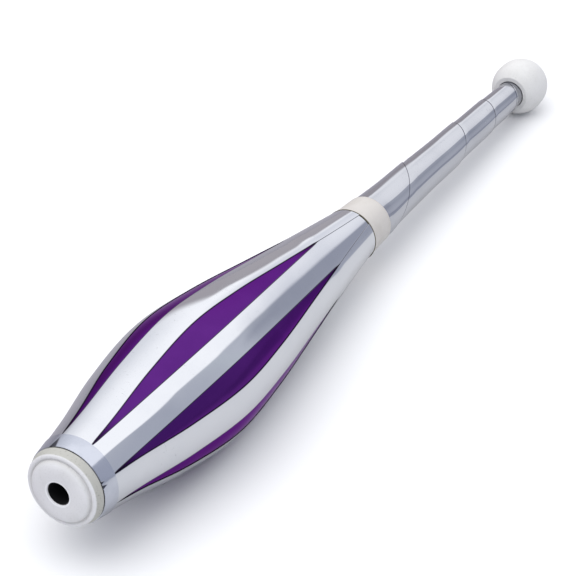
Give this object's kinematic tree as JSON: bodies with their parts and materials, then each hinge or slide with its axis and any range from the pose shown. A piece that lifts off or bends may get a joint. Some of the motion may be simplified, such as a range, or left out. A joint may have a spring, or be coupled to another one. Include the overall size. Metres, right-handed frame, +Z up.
{
  "type": "juggling club",
  "caption": "Juggling club with a hollow purple body under straight mirror-film strips, a film-wrapped padded handle, and a soft white foot and knob.",
  "frame": {"origin": "on the resting plane, under the middle of the club's length", "axes": "+X from the foot to the knob along the plane, +Z up. The club lies on its belly and its knob, so its own axis dips 3.1 degrees from +X towards the knob"},
  "size_m": [0.5195, 0.0756, 0.076],
  "materials": {
    "purple_shell": "gloss",
    "mirror_film": "polished",
    "clear_band": "gloss",
    "white_tape": "matte",
    "pale_plastic": "matte",
    "black_plastic": "matte",
    "white_rubber": "satin",
    "turned_wood": "matte",
    "plated_steel": "satin",
    "grey_foam": "matte"
  },
  "bodies": {
    "root": {"body_shell": "purple_shell", "base_band": "clear_band", "neck_tape": "white_tape", "handle_sleeve": "pale_plastic", "handle_wrap": "mirror_film", "core_tube": "black_plastic", "neck_collar": "turned_wood", "neck_tacks": "plated_steel", "base_plug": "black_plastic", "foot": "white_rubber", "knob": "white_rubber", "knob_plug": "turned_wood", "knob_washer": "plated_steel", "knob_screw": "plated_steel", "foil_strip_1": "mirror_film", "foil_strip_2": "mirror_film", "foil_strip_3": "mirror_film", "foil_strip_4": "mirror_film", "foil_strip_5": "mirror_film", "foil_strip_6": "mirror_film", "foil_strip_7": "mirror_film", "foil_strip_8": "mirror_film", "foam_ring_1": "grey_foam", "foam_ring_2": "grey_foam", "foam_ring_3": "grey_foam"}
  },
  "joints": []
}
